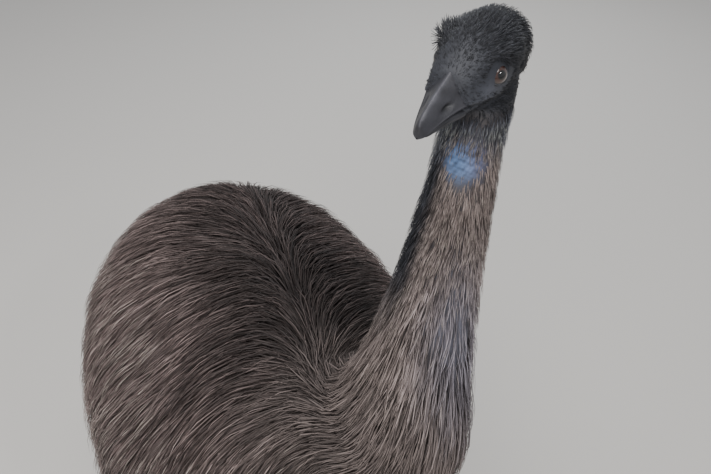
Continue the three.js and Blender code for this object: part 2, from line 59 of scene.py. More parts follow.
# Outer outline of the plumage, at stations along Y
BODY_Y = [-0.400, -0.340, -0.250, -0.130, 0.020, 0.170, 0.300, 0.420, 0.520]
BODY_HALF = [0.001, 0.173, 0.268, 0.317, 0.314, 0.290, 0.238, 0.148, 0.001]
BODY_TOP = [0.730, 0.864, 0.907, 0.938, 0.958, 0.944, 0.890, 0.797, 0.640]
BODY_BOTTOM = [0.729, 0.610, 0.562, 0.540, 0.530, 0.534, 0.556, 0.588, 0.639]
BODY_MIDDLE = 0.37
BODY_CENTRE = np.array([0.0, 0.060, 0.705])
SKIN_SHRINK = 0.165
SKIN_VOXEL = 0.006
PARTING_X = 0.062
PARTING_SLOPE = 0.05
PARTING_WIDE = 0.034

# Neck: centre line, and half widths across and fore-and-aft
NECK_LINE = np.array([
    [20, -190, 700], [62, -275, 790], [108, -315, 880], [144, -303, 975], [167, -285, 1062],
    [186, -272, 1143], [202, -262, 1215], [217, -247, 1270], [238, -225, 1318], [247, -216, 1354],
]) / 1000
NECK_ACROSS = np.array([150, 138, 102, 70, 56, 47, 38, 34, 38, 22]) / 1000
NECK_DEEP = np.array([150, 135, 98, 70, 57, 49, 41, 38, 43, 26]) / 1000
NECK_COAT = 0.16
NECK_FACES = np.array([-0.25, -1.0, 0.0])
NECK_STEPS = 240
HEAD_SKIN_FROM = 0.62
HEAD_VOXEL = 0.0016

# Head frame: x to the bill, y to the bird's left, z up, from between the eyes
HEAD_PLACE = np.array([0.209, -0.239, 1.353])
HEAD_AHEAD = np.array([-0.87, -0.49, 0.0])
HEAD_AHEAD = HEAD_AHEAD / np.linalg.norm(HEAD_AHEAD)
HEAD_LEFT = np.array([-HEAD_AHEAD[1], HEAD_AHEAD[0], 0.0])
HEAD_X = np.array([-76, -70, -52, -26, 0, 20, 36, 47]) / 1000
HEAD_END = HEAD_X[-1] + 0.004
HEAD_HALF = np.array([1, 21, 33, 37, 35, 31, 27, 23.5]) / 1000
HEAD_TOP = np.array([0, 20, 34, 40, 39, 32, 21, 13.5]) / 1000
HEAD_BOTTOM = np.array([-10, -30, -41, -42, -38, -35, -33, -31.5]) / 1000

EYE_CENTRE = np.array([0.003, 0.0262, 0.001])
EYE_RADIUS = 0.0118
PUPIL_RADIUS = 0.0040
IRIS_RADIUS = 0.0074
CORNEA_BULGE = 0.05
EYE_GAZE = np.array([0.44, 0.80, 0.40])
EYE_GAZE = EYE_GAZE / np.linalg.norm(EYE_GAZE)

# Lids: the opening from the gaze to the side, up and down, in degrees, then the lid's profile as
# stops, the angles of those next to the rim measured from it, and shares of the eye's radius
LID_SIDE = 64
LID_UP = 54
LID_DOWN = 44
LID_STOPS = [0.0, 0.30, 0.36, 0.42, 0.50, 0.58, 0.68, 0.80, 1.0]
LID_RIM = [-0.02, 0.0, 0.06, 0.15, 0.22, 0.32]
LID_BACK = 1.55
LID_RADII = [0.5, 0.97, 1.05, 1.09, 1.08, 1.03, 1.02, 0.86, 0.5]

BILL_X = np.array([42, 48, 58, 70, 82, 91, 96.5, 99]) / 1000
BILL_HALF = np.array([24, 22, 18.5, 15, 11.5, 8.4, 5.4, 1]) / 1000
BILL_TOP = np.array([15.5, 12.8, 8.5, 4, -2, -7.5, -13.5, -24]) / 1000
BILL_EDGE = np.array([-15, -15, -15.5, -17.5, -20.5, -24, -27, -28.5]) / 1000
LOWER_X = np.array([42, 48, 58, 70, 82, 91, 95]) / 1000
LOWER_HALF = np.array([21, 20, 16.5, 13, 9.5, 6.4, 1]) / 1000
LOWER_BOTTOM = np.array([-30, -31, -31, -30.8, -30.2, -29.4, -28.2]) / 1000

NOSTRIL_X = 0.066
NOSTRIL_Z = -0.009
NOSTRIL_DEEP = 0.0034
BILL_GAP = 0.0008
BILL_ROUNDING = 0.002

# The mouth's line on the side of the face
GAPE_X = [-0.014, 0.0, 0.02, 0.042]
GAPE_Z = [-0.0255, -0.0240, -0.0205, -0.0152]
GAPE_DEEP = 0.0030

# Forms on the side of the face: height, reach, x, z, stretch along x, and steepness along z
LORE = (-0.0025, 0.012, 0.024, -0.004, 1.6, 1.0)
BROW = (0.0036, 0.0065, -0.004, 0.0195, 2.4, 1.0)
CHEEK = (0.0016, 0.010, -0.004, -0.018, 1.0, 1.4)
EAR = (-0.0045, 0.0038, -0.038, -0.004, 1.0, 1.0)

# Legs: side, x and y of each foot, how far the hock stands behind it, and the hock's height
FEET = {"left": (1, 0.108, 0.092), "right": (-1, -0.100, 0.008)}
HOCK_BACK = 0.078
HOCK_UP = 0.425
LEG_VOXEL = 0.0026

# Toes: turn in degrees, reach, radius at the root and at the tip, and the claw's length
TOES = {
    "middle": (0, 0.118, 0.017, 0.010, 0.030),
    "inner": (31, 0.078, 0.014, 0.009, 0.024),
    "outer": (-31, 0.076, 0.014, 0.009, 0.022),
}
TOE_SWELL = 0.07
PAD_WIDE = 0.026
PAD_LONG = 0.031
PAD_MIDDLE = 0.017
PAD_HIGH = 0.019
CLAW_ROOT = 0.006

# Raised plates: height, and spacing down the shank and along the toes
PLATE_HIGH = 0.0021
SHANK_PITCH = 0.0135
TOE_PITCH = 0.0085

# Coats: how many tufts each has, and the length and lift of a plain tuft
BODY_TUFTS = 38000
BODY_LENGTH = 0.135
BODY_LIFT = 0.040
NECK_TUFTS = 16500
NECK_LENGTH = 0.026
NECK_LIFT = 0.0065
HEAD_TUFTS = 15000
HEAD_LENGTH = 0.015
HEAD_LIFT = 0.0016
HEM_HEIGHT = 0.44

# Camera of the photograph, in the bird's frame; the photograph's sizes are in its pixels
CAMERA_PLACE = np.array([-0.13, -0.68, 1.65])
CAMERA_DOWN = math.radians(44)
CAMERA_TURN = math.radians(26)
CAMERA_SENSOR = 36
PHOTO_WIDE = 711
PHOTO_FOCAL = 620

# Lights: place, target, size, power and colour
LIGHTS = {
    "sky": ((-0.6, -0.4, 3.6), (0, 0, 0.8), 3.2, 95, (1.0, 0.98, 0.96)),
    "side": ((-2.6, -2.2, 2.2), (0, 0, 0.8), 1.8, 38, (1.0, 0.97, 0.93)),
    "back": ((2.4, 2.4, 2.6), (0, 0, 0.9), 1.8, 42, (0.93, 0.97, 1.0)),
    "catch": ((0.73, -1.84, 2.78), (0.22, -0.26, 1.35), 0.20, 9, (1.0, 1.0, 1.0)),
}

# Colours are linear
BACK = np.array([0.142, 0.108, 0.102])
FLANK = np.array([0.112, 0.082, 0.076])
TAN = np.array([0.250, 0.204, 0.190])
# The hair's own black, raised and tinted blue by a painted sheen
BLACK_WITH_SHEEN = np.array([0.025, 0.026, 0.031])
SLATE = np.array([0.030, 0.032, 0.040])
PALE = np.array([0.46, 0.40, 0.36])
THROAT_BLUE = np.array([0.105, 0.185, 0.360])
THROAT_VIOLET = np.array([0.120, 0.135, 0.235])
SIDE_GREY = np.array([0.16, 0.16, 0.20])
BODY_SKIN = np.array([0.022, 0.017, 0.016])
NECK_SKIN = np.array([0.060, 0.053, 0.055])
LEG_SKIN = np.array([0.135, 0.115, 0.102])
HORN = np.array([0.031, 0.031, 0.037])
IRIS = np.array([0.050, 0.019, 0.013])

# Middles of the bare throat, the hollow beside the neck where the coat is painted with shade, and the
# thinly covered side
THROAT = np.array([0.184, -0.277, 1.271])
SHADED_HOLLOW = np.array([0.095, -0.180, 0.905])
SIDE_PATCH = np.array([0.178, -0.335, 1.060])


def smooth_curve(xs, ys):
    """A monotone cubic through stations, which takes numbers or arrays."""
    xs = np.asarray(xs, float)
    ys = np.asarray(ys, float)
    gap = np.diff(xs)
    rise = np.diff(ys) / gap
    slope = np.zeros_like(ys)
    slope[0] = rise[0]
    slope[-1] = rise[-1]
    for i in range(1, len(xs) - 1):
        if rise[i - 1] * rise[i] > 0:
            before = 2 * gap[i] + gap[i - 1]
            after = gap[i] + 2 * gap[i - 1]
            slope[i] = (before + after) / (before / rise[i - 1] + after / rise[i])

    def value(x):
        at = np.clip(x, xs[0], xs[-1])
        i = np.clip(np.searchsorted(xs, at, side="right") - 1, 0, len(gap) - 1)
        t = (at - xs[i]) / gap[i]
        start = (1 + 2 * t) * (1 - t) ** 2 * ys[i] + t * (1 - t) ** 2 * gap[i] * slope[i]
        end = t * t * (3 - 2 * t) * ys[i + 1] + t * t * (t - 1) * gap[i] * slope[i + 1]
        return start + end

    return value


def unit(v):
    return v / np.maximum(np.linalg.norm(v, axis=-1, keepdims=True), 1e-9)


def ease(x, low, high):
    t = np.clip((x - low) / (high - low), 0, 1)
    return t * t * (3 - 2 * t)


def fade(distance, reach, power=2):
    """A share that falls smoothly from 1 at no distance to nearly 0 past its reach."""
    return np.exp(-(distance / reach) ** power)


def blend(first, second, share):
    """One row of values turned towards another by each point's share."""
    return first * (1 - share)[:, None] + second * share[:, None]


def by_region(neck, head, of_body, of_neck, of_head):
    """Values for the body, the neck and the head, joined by how far each point belongs to them."""
    return of_body * (1 - neck - head)[:, None] + of_neck * neck[:, None] + of_head * head[:, None]


def between(start, end, t):
    """A place between two ends, with the steps of t drawn closer together near both."""
    return start + (end - start) * (1 - math.cos(math.pi * t)) / 2


def rounded(distance, reach):
    """How far a form is open at a distance from its end, so that the end is round."""
    return min(1.0, math.sqrt(max(distance, 0.0) / reach))


def section(turn, half, top, bottom, middle, closing=1.0):
    """A place on a section: half an ellipse above its middle height and half a squarer one below."""
    across = math.sin(turn)
    along = math.cos(turn)
    if along >= 0:
        return half * closing * across, middle + (top - middle) * closing * along
    power = 2 / SQUARE
    wide = half * closing * math.copysign(abs(across) ** power, across)
    return wide, middle - (middle - bottom) * closing * abs(along) ** power


def closed_form(point, rings, sides):
    """A closed form whose poles are the ends of a row of sections: point(t, turn)."""
    bm = bmesh.new()
    bmesh.ops.create_uvsphere(bm, u_segments=sides, v_segments=rings, radius=1)
    for v in bm.verts:
        t = math.acos(max(-1.0, min(1.0, v.co.z))) / math.pi
        v.co = Vector(point(t, math.atan2(v.co.x, v.co.y)))
    bmesh.ops.recalc_face_normals(bm, faces=bm.faces)
    return bm


def into_mesh(forms, name):
    """Several forms in one mesh, still apart; the forms are used up."""
    mesh = bpy.data.meshes.new(name)
    whole = bmesh.new()
    for form in forms:
        part = bpy.data.meshes.new("part")
        form.to_mesh(part)
        form.free()
        whole.from_mesh(part)
        bpy.data.meshes.remove(part)
    whole.to_mesh(mesh)
    whole.free()
    return mesh


def put(name, mesh):
    piece = bpy.data.objects.new(name, mesh)
    bpy.context.scene.collection.objects.link(piece)
    return piece


def melted(name, forms, voxel, smoothing):
    """Forms joined into one smooth skin by a voxel remesh."""
    rough = put(name + "_rough", into_mesh(forms, name + "_rough"))
    remesh = rough.modifiers.new("remesh", "REMESH")
    remesh.mode = "VOXEL"
    remesh.voxel_size = voxel
    depsgraph = bpy.context.evaluated_depsgraph_get()
    mesh = bpy.data.meshes.new_from_object(rough.evaluated_get(depsgraph))
    bpy.data.objects.remove(rough)
    bm = bmesh.new()
    bm.from_mesh(mesh)
    bpy.data.meshes.remove(mesh)
    for _ in range(smoothing):
        bmesh.ops.smooth_vert(bm, verts=bm.verts, factor=0.5,
                              use_axis_x=True, use_axis_y=True, use_axis_z=True)
    return bm


def finished(name, bm, material):
    """A bmesh in the bird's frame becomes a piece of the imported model."""
    bmesh.ops.translate(bm, verts=bm.verts, vec=Vector(ORIGIN))
    mesh = bpy.data.meshes.new(name)
    bm.to_mesh(mesh)
    bm.free()
    mesh.materials.append(material)
    mesh.polygons.foreach_set("use_smooth", [True] * len(mesh.polygons))
    piece = put(name, mesh)
    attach(piece, "root")
    return piece


def paint(piece, colours):
    """A colour for each point, which the materials read."""
    attribute = piece.data.attributes.new("coat", "FLOAT_COLOR", "POINT")
    rgba = np.concatenate([colours, np.ones((len(colours), 1))], axis=1)
    attribute.data.foreach_set("color", rgba.reshape(-1))


def places_of(piece):
    """The points of a finished piece, back in the bird's frame."""
    places = np.zeros(len(piece.data.vertices) * 3)
    piece.data.vertices.foreach_get("co", places)
    return places.reshape(-1, 3) - ORIGIN


body_half = smooth_curve(BODY_Y, BODY_HALF)
body_top = smooth_curve(BODY_Y, BODY_TOP)
body_bottom = smooth_curve(BODY_Y, BODY_BOTTOM)


def body_point(t, turn, shrink):
    y = between(BODY_Y[0], BODY_Y[-1], t)
    top = float(body_top(y))
    bottom = float(body_bottom(y))
    middle = bottom + BODY_MIDDLE * (top - bottom)
    x, z = section(turn, float(body_half(y)), top, bottom, middle)
    point = np.array([x, y, z])
    return point + (BODY_CENTRE - point) * shrink


def catmull(points, count):
    """Points evenly placed by number along a Catmull-Rom curve."""
    padded = np.vstack([2 * points[0] - points[1], points, 2 * points[-1] - points[-2]])
    at = np.linspace(0, len(points) - 1, count)
    i = np.minimum(at.astype(int), len(points) - 2)
    t = (at - i)[:, None]
    a, b, c, d = (padded[i + k] for k in range(4))
    square = 2 * a - 5 * b + 4 * c - d
    cube = 3 * b - a - 3 * c + d
    return 0.5 * (2 * b + (c - a) * t + square * t ** 2 + cube * t ** 3)


neck_points = catmull(NECK_LINE, NECK_STEPS)
neck_along = unit(np.gradient(neck_points, axis=0))
neck_front = unit(NECK_FACES - neck_along * (neck_along @ NECK_FACES)[:, None])
neck_left = unit(np.cross(neck_along, neck_front))
neck_stations = np.linspace(0, 1, len(NECK_LINE))
neck_across = smooth_curve(neck_stations, NECK_ACROSS)(np.linspace(0, 1, NECK_STEPS))
neck_deep = smooth_curve(neck_stations, NECK_DEEP)(np.linspace(0, 1, NECK_STEPS))


def neck_point(t, turn, start, end, share):
    """A place on a length of the neck, drawn in by a share of its coat's outer outline."""
    i = int(round((start + (end - start) * t) * (NECK_STEPS - 1)))
    closing = min(1.0, math.sin(math.pi * min(max(t, 0.0), 1.0)) * 5)
    across = neck_across[i] * (1 - share) * closing
    deep = neck_deep[i] * (1 - share) * closing
    return neck_points[i] + neck_left[i] * across * math.sin(turn) + neck_front[i] * deep * math.cos(turn)


head_half = smooth_curve(HEAD_X, HEAD_HALF)
head_top = smooth_curve(HEAD_X, HEAD_TOP)
head_bottom = smooth_curve(HEAD_X, HEAD_BOTTOM)


def from_head(points):
    """Points of the head's frame, in the bird's."""
    points = np.asarray(points, float)
    return (HEAD_PLACE + points[..., :1] * HEAD_AHEAD + points[..., 1:2] * HEAD_LEFT
            + points[..., 2:] * UP)


def to_head(points):
    """Points of the bird's frame, in the head's."""
    d = np.asarray(points, float) - HEAD_PLACE
    return np.stack([d @ HEAD_AHEAD, d @ HEAD_LEFT, d[..., 2]], axis=-1)


def head_point(t, turn):
    x = between(HEAD_X[0], HEAD_END, t)
    top = float(head_top(x))
    bottom = float(head_bottom(x))
    y, z = section(turn, float(head_half(x)), top, bottom, (top + bottom) / 2, rounded(HEAD_END - x, 0.006))
    return from_head([x, y, z])


def limb_point(rows, t, turn):
    """A place on a limb through rows of x, y, height, half width and half depth."""
    at = np.linspace(0, 1, len(rows))
    rows = np.array(rows)
    place = between(0, 1, t)
    x, y, z, wide, deep = (float(smooth_curve(at, rows[:, c])(place)) for c in range(5))
    closing = min(1.0, math.sin(math.pi * t) * 4)
    return (x + wide * closing * math.sin(turn), y + deep * closing * math.cos(turn), z)


def leg_rows(side, foot_x, foot_y):
    """Rows of x, y, height, half width and half depth for the thigh and for the shank."""
    out = side * 0.014
    hock_y = foot_y + HOCK_BACK
    knee_y = foot_y - 0.060
    thigh = [
        [foot_x + out, knee_y, 0.690, 0.070, 0.110],
        [foot_x + out * 0.8, knee_y + 0.045, 0.600, 0.066, 0.104],
        [foot_x + out * 0.6, knee_y + 0.084, 0.535, 0.053, 0.078],
        [foot_x + out * 0.4, knee_y + 0.112, 0.495, 0.040, 0.052],
        [foot_x + out * 0.2, hock_y - 0.008, 0.460, 0.030, 0.034],
        [foot_x, hock_y, HOCK_UP, 0.026, 0.029],
    ]
    shank = [
        [foot_x + out * 0.2, hock_y - 0.002, HOCK_UP + 0.060, 0.024, 0.027],
        [foot_x, hock_y + 0.002, HOCK_UP, 0.029, 0.033],
        [foot_x, hock_y - 0.006, HOCK_UP - 0.045, 0.022, 0.026],
        [foot_x, foot_y + 0.042, 0.240, 0.0175, 0.0205],
        [foot_x, foot_y + 0.012, 0.090, 0.0185, 0.0195],
        [foot_x, foot_y + 0.002, 0.016, 0.024, 0.024],
    ]
    return thigh, shank


def body_skin():
    """Skin of the whole bird: body, neck, head and thighs in one surface."""
    forms = [
        closed_form(lambda t, turn: body_point(t, turn, SKIN_SHRINK), 48, 64),
        closed_form(lambda t, turn: neck_point(t, turn, 0.0, 1.0, NECK_COAT), 64, 40),
        closed_form(head_point, 48, 48),
    ]
    for side, foot_x, foot_y in FEET.values():
        thigh, _ = leg_rows(side, foot_x, foot_y)
        forms.append(closed_form(lambda t, turn, rows=thigh: limb_point(rows, t, turn), 24, 28))
    return melted("skin", forms, SKIN_VOXEL, 6)


def head_skin():
    """The head and the top of the neck, fine enough for lids, gape and ear."""
    forms = [
        closed_form(head_point, 72, 80),
        closed_form(lambda t, turn: neck_point(t, turn, HEAD_SKIN_FROM, 1.0, NECK_COAT * 0.8), 48, 48),
    ]
    bm = melted("head_skin", forms, HEAD_VOXEL, 8)
    for v in bm.verts:
        v.co = Vector(head_relief(np.array(v.co)))
    return bm


def bump(distance, reach):
    """A round bump of height 1, which is gone a little beyond its reach."""
    return math.exp(-((distance / reach) ** 2))


def gape_height(x):
    """Height of the mouth's line on the side of the face."""
    return np.interp(x, GAPE_X, GAPE_Z)


def face_form(form, x, z):
    """How far one of the forms on the side of the face lifts or sinks the surface."""
    height, reach, middle_x, middle_z, stretch, steepness = form
    return height * bump(math.hypot((x - middle_x) / stretch, (z - middle_z) * steepness), reach)


def head_relief(point):
    """Brow, eye socket, cheek, gape and ear, as small moves of the head's surface."""
    x, y, z = to_head(point)
    side = 1.0 if y > 0 else -1.0
    if x < -0.08 or z < -0.06:
        return point
    on_side = ease(abs(y), 0.010, 0.024)
    outward = sum(face_form(form, x, z) for form in (LORE, BROW, CHEEK, EAR)) * on_side
    above = z - gape_height(x)
    gape = abs(above) if x > GAPE_X[0] else math.hypot(x - GAPE_X[0], above)
    outward -= GAPE_DEEP * bump(gape, 0.0016) * ease(abs(y), 0.006, 0.014)
    outward += 0.5 * GAPE_DEEP * bump(abs(above - 0.0040), 0.0024) * ease(x, -0.02, 0.01) * on_side
    moved = np.array([x, y + side * outward, z])
    centre = EYE_CENTRE * [1, side, 1]
    gaze = EYE_GAZE * [1, side, 1]

    # The socket is pressed in behind the eyeball and its lids
    offset = moved - centre
    ahead = float(offset @ gaze)
    reach = float(np.linalg.norm(offset - gaze * ahead))
    floor = EYE_RADIUS * (0.10 + 0.55 * ease(reach, 0.85 * EYE_RADIUS, 1.5 * EYE_RADIUS))
    if reach < 1.5 * EYE_RADIUS and ahead > floor:
        blend = 1 - ease(reach, 1.05 * EYE_RADIUS, 1.5 * EYE_RADIUS)
        moved = moved - gaze * (ahead - floor) * blend
    return from_head(moved)


class Surface:
    """The skin as a tree for finding the nearest place, and as triangles to root tufts on."""

    def __init__(self, bm):
        bm.normal_update()
        self.tree = BVHTree.FromBMesh(bm)
        bmesh.ops.triangulate(bm, faces=bm.faces)
        corners = np.array([[tuple(v.co) for v in f.verts] for f in bm.faces])
        self.corners = corners
        cross = np.cross(corners[:, 1] - corners[:, 0], corners[:, 2] - corners[:, 0])
        self.area = np.linalg.norm(cross, axis=1) / 2
        self.middle = corners.mean(axis=1)
        normals = {v: np.array(v.normal) for v in bm.verts}
        self.normals = np.array([[normals[v] for v in f.verts] for f in bm.faces])

    def scatter(self, count, weight, random):
        """Roots spread over the surface by a weight given at the triangles' middles."""
        share = self.area * weight(self.middle, unit(self.normals.mean(axis=1)))
        chosen = random.choice(len(share), size=count, p=share / share.sum())
        a = random.random(count)
        b = random.random(count)
        flip = a + b > 1
        a[flip] = 1 - a[flip]
        b[flip] = 1 - b[flip]
        mix = np.stack([1 - a - b, a, b], axis=1)[:, :, None]
        return (self.corners[chosen] * mix).sum(axis=1), unit((self.normals[chosen] * mix).sum(axis=1))

    def settle(self, points, normals, held):
        """Points brought back to the surface, apart from those that hang free."""
        for i in np.flatnonzero(held):
            place, normal, _, _ = self.tree.find_nearest(Vector(points[i]))
            points[i] = place
            normals[i] = 0.6 * normals[i] + 0.4 * np.array(normal)
        return points, unit(normals)


def neck_place(points):
    """Nearest place along the neck's line, and the distance from it as a share of its radius."""
    best = np.full(len(points), 9.0)
    place = np.zeros(len(points))
    for i in range(0, NECK_STEPS, 3):
        d = np.linalg.norm(points - neck_points[i], axis=1) / (0.5 * (neck_across[i] + neck_deep[i]))
        nearer = d < best
        best[nearer] = d[nearer]
        place[nearer] = i / (NECK_STEPS - 1)
    return place, best


def noise(points, scale, seed):
    """A smooth field of waves between about -1 and 1."""
    random = np.random.default_rng(seed)
    total = np.zeros(len(points))
    for _ in range(5):
        direction = unit(random.normal(size=3))
        total += np.sin(points @ direction * (2 * math.pi / scale) * random.uniform(0.6, 1.6)
                        + random.uniform(0, 6.28))
    return total / 3


def region(points):
    """How far each point belongs to the neck and to the head, from 0 to 1."""
    place, share = neck_place(points)
    neck = ease(place, 0.10, 0.26) * (1 - ease(share, 1.25, 1.7))
    local = to_head(points)
    aside = np.linalg.norm(local[:, :2], axis=1)
    head = ease(local[:, 2], -0.050, -0.034) * (1 - ease(aside, 0.09, 0.12))
    return place, neck * (1 - head), head


def parting(points):
    """Signed distance across from the parting, and how near it a point of the back is."""
    offset = points[:, 0] - (PARTING_X + PARTING_SLOPE * points[:, 1])
    return offset, fade(offset, PARTING_WIDE) * ease(points[:, 2], 0.70, 0.80)


def lie(points, normals):
    """The direction in which the coat lies at each point."""
    y = points[:, 1]
    offset, near = parting(points)
    side = np.tanh(offset / 0.03)
    chest = 1 - ease(y, -0.34, -0.18)
    flank = ease(np.abs(offset), 0.05, 0.20)
    rump = ease(y, 0.20, 0.40)
    back = 0.05 + (1 - chest) * (0.26 - 0.36 * flank * (1 - rump)) + 1.0 * near
    out = side * (0.85 - 0.35 * flank) * (1 - 0.5 * chest)
    body = np.stack([out, back, near - 1.0], axis=1)
    body[:, 1] += 0.12 * noise(points, 0.30, 3)
    body[:, 0] += 0.10 * noise(points, 0.26, 4)
    place, neck, head = region(points)
    along = neck_along[np.clip((place * (NECK_STEPS - 1)).astype(int), 0, NECK_STEPS - 1)]
    local = to_head(points)
    nape = np.tile(-HEAD_AHEAD - np.array([0, 0, 0.35]), (len(points), 1))
    nape[:, 2] -= ease(-local[:, 0], 0.03, 0.07)
    field = by_region(neck, head, body, -along, nape)
    field = field - normals * (field * normals).sum(axis=1)[:, None]
    return unit(field)


def grow(surface, roots, normals, length, lift, random, droop, steps):
    """Paths of tufts: each follows the lie, rises to its lift and hangs where it can."""
    count = len(roots)
    paths = np.zeros((count, steps, 3))
    outs = np.zeros((count, steps, 3))
    at = roots.copy()
    out = normals.copy()
    free = np.zeros(count, bool)
    wander = 0.11 * random.normal(size=(count, 1))
    for k in range(steps):
        t = k / (steps - 1)
        rise = lift * (1 - (1 - t) ** 2.2) - 0.002 * (1 - t)
        paths[:, k] = at + out * rise[:, None]
        outs[:, k] = out
        step = lie(at, out)
        step = unit(step + np.cross(out, step) * wander)
        free = free | (droop & (out[:, 2] < -0.02))
        flare = 0.26 * ease(at[:, 1], -0.30, -0.05) * (1 - 0.75 * ease(at[:, 1], 0.22, 0.40))
        down = np.array([0.0, 0.0, -1.0]) + flare[:, None] * out * [1, 1, 0]
        step[free] = unit(down[free] + 0.25 * wander[free] * np.array([0.3, 1.0, 0.0]))
        at = at + step * (length / (steps - 1))[:, None]
        at, out = surface.settle(at, out, ~free)
    return paths, outs


def gathered(paths, random, per_lock, strength):
    """Tufts drawn towards a guide among their neighbours, so that they part into locks."""
    count, steps = paths.shape[:2]
    guides = random.choice(count, size=max(count // per_lock, 1), replace=False)
    nearest = np.zeros(count, int)
    for start in range(0, count, 2000):
        d = np.linalg.norm(paths[start:start + 2000, None, 0] - paths[None, guides, 0], axis=2)
        nearest[start:start + 2000] = d.argmin(axis=1)
    guide = paths[guides[nearest]]
    t = np.linspace(0, 1, steps)[None, :, None]
    pull = strength * t ** 1.5
    return paths * (1 - pull) + guide * pull, nearest


def tuft_mesh(name, paths, outs, width, thick, colours, root_uv, material):
    """Tufts of three sides and a point, as one mesh with their colours and the OFBake map."""
    count, steps = paths.shape[:2]
    t = np.linspace(0, 1, steps)[None, :]
    along = unit(np.gradient(paths, axis=1))
    across = unit(np.cross(along, outs))
    # A tuft is widest before its middle and a quarter as wide next to its tip
    shape = 0.55 + 1.25 * t - 1.55 * t * t
    half = (width[:, None] * shape / 2)[:, :, None]
    high = (thick[:, None] * (1 - 0.6 * t))[:, :, None]
    rings = np.stack([paths + across * half, paths - across * half, paths + outs * high], axis=2)
    body = rings[:, :-1].reshape(count, -1, 3)
    verts = np.concatenate([body, paths[:, -1:]], axis=1) + ORIGIN
    per = verts.shape[1]
    faces = [(0, 2, 1)]
    for ring in range(steps - 2):
        for k in range(3):
            a, b = 3 * ring + k, 3 * ring + (k + 1) % 3
            faces += [(a, b, b + 3), (a, b + 3, a + 3)]
    last = 3 * (steps - 2)
    faces += [(last + k, last + (k + 1) % 3, per - 1) for k in range(3)]
    faces = np.array(faces)
    index = (faces[None] + per * np.arange(count)[:, None, None]).reshape(-1)
    mesh = bpy.data.meshes.new(name)
    mesh.vertices.add(count * per)
    mesh.vertices.foreach_set("co", verts.reshape(-1))
    mesh.loops.add(len(index))
    mesh.loops.foreach_set("vertex_index", index)
    mesh.polygons.add(len(index) // 3)
    mesh.polygons.foreach_set("loop_start", np.arange(0, len(index), 3))
    mesh.polygons.foreach_set("use_smooth", np.ones(len(index) // 3, bool))
    mesh.update(calc_edges=True)
    piece = put(name, mesh)
    ring_of = np.append(np.repeat(np.arange(steps - 1), 3), steps - 1)
    side_of = np.append(np.tile(np.arange(3), steps - 1), 1)
    paint(piece, colours[:, ring_of].reshape(-1, 3))
    patch = np.stack([ring_of / (steps - 1), side_of / 2], axis=1) * 0.003
    vert_uv = (root_uv[:, None] + patch[None]).reshape(-1, 2)
    layer = mesh.uv_layers.new(name="OFBake")
    layer.data.foreach_set("uv", vert_uv[index].reshape(-1))
    mesh.materials.append(material)
    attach(piece, "root")


def neck_turn(points, place):
    """The turn round the neck from its front, positive to the bird's left."""
    i = np.clip((place * (NECK_STEPS - 1)).astype(int), 0, NECK_STEPS - 1)
    d = points - neck_points[i]
    return np.arctan2((d * neck_left[i]).sum(axis=1), (d * neck_front[i]).sum(axis=1))


def bare(points):
    """Share of bare throat skin and of thinly covered skin on the neck's left side."""
    from_throat = np.linalg.norm((points - THROAT) * [0.85, 0.85, 1.2], axis=1)
    from_side = np.linalg.norm((points - SIDE_PATCH) * [1.2, 1.2, 0.42], axis=1)
    return fade(from_throat, 0.026, 3), fade(from_side, 0.055, 3)


def plumage_colour(points):
    """The colour of the coat at its roots' places, before each tuft's own tone."""
    place, neck, head = region(points)
    offset, near = parting(points)
    low = 1 - ease(points[:, 2], 0.62, 0.86)
    body = BACK + (FLANK - BACK) * (low * (1 - ease(offset, -0.05, 0.05)))[:, None]
    # Painted shade: the back on the bird's left of the parting is darker, as the side turned away from the
    # sky light; the parting itself is darker too
    body = body * ((1 - 0.22 * ease(offset, -0.01, 0.05)) * (1 - 0.45 * near))[:, None]
    on_back = fade(offset + 0.03, 0.14) * ease(points[:, 2], 0.7, 0.8)
    body = body * (1 - 0.46 * on_back)[:, None]
    chest = (1 - ease(points[:, 1], -0.30, -0.14)) * ease(points[:, 2], 0.52, 0.75)
    chest = chest * (1 - 0.7 * ease(points[:, 2], 0.80, 0.88) * (1 - ease(points[:, 0], 0.06, 0.16)))
    body = blend(body, 0.46 * TAN, chest)
    turn = neck_turn(points, place)
    dark = ease(np.abs(turn - 0.1), 1.0, 1.7) * ease(place, 0.36, 0.55)
    neck_colour = blend(blend(TAN, BLACK_WITH_SHEEN, dark), BLACK_WITH_SHEEN * 3.2, ease(place, 0.74, 0.82))
    _, side = bare(points)
    edge = ease(turn, 0.45, 1.1) * ease(place, 0.55, 0.68)
    neck_colour = neck_colour * (1 - 0.62 * edge)[:, None]
    neck_colour = blend(neck_colour, SIDE_GREY * 1.2, 0.65 * side)
    neck_colour = neck_colour * (1 - 0.35 * (1 - ease(place, 0.2, 0.5)))[:, None]
    colour = by_region(neck, head, body, neck_colour, BLACK_WITH_SHEEN)
    # Painted shade: the coat is darkened in the hollow beside the neck
    hollow = fade(np.linalg.norm((points - SHADED_HOLLOW) * [1.1, 0.7, 0.8], axis=1), 0.095)
    return colour * ((1 - 0.58 * hollow) * (1 + 0.16 * noise(points, 0.16, 7)))[:, None]


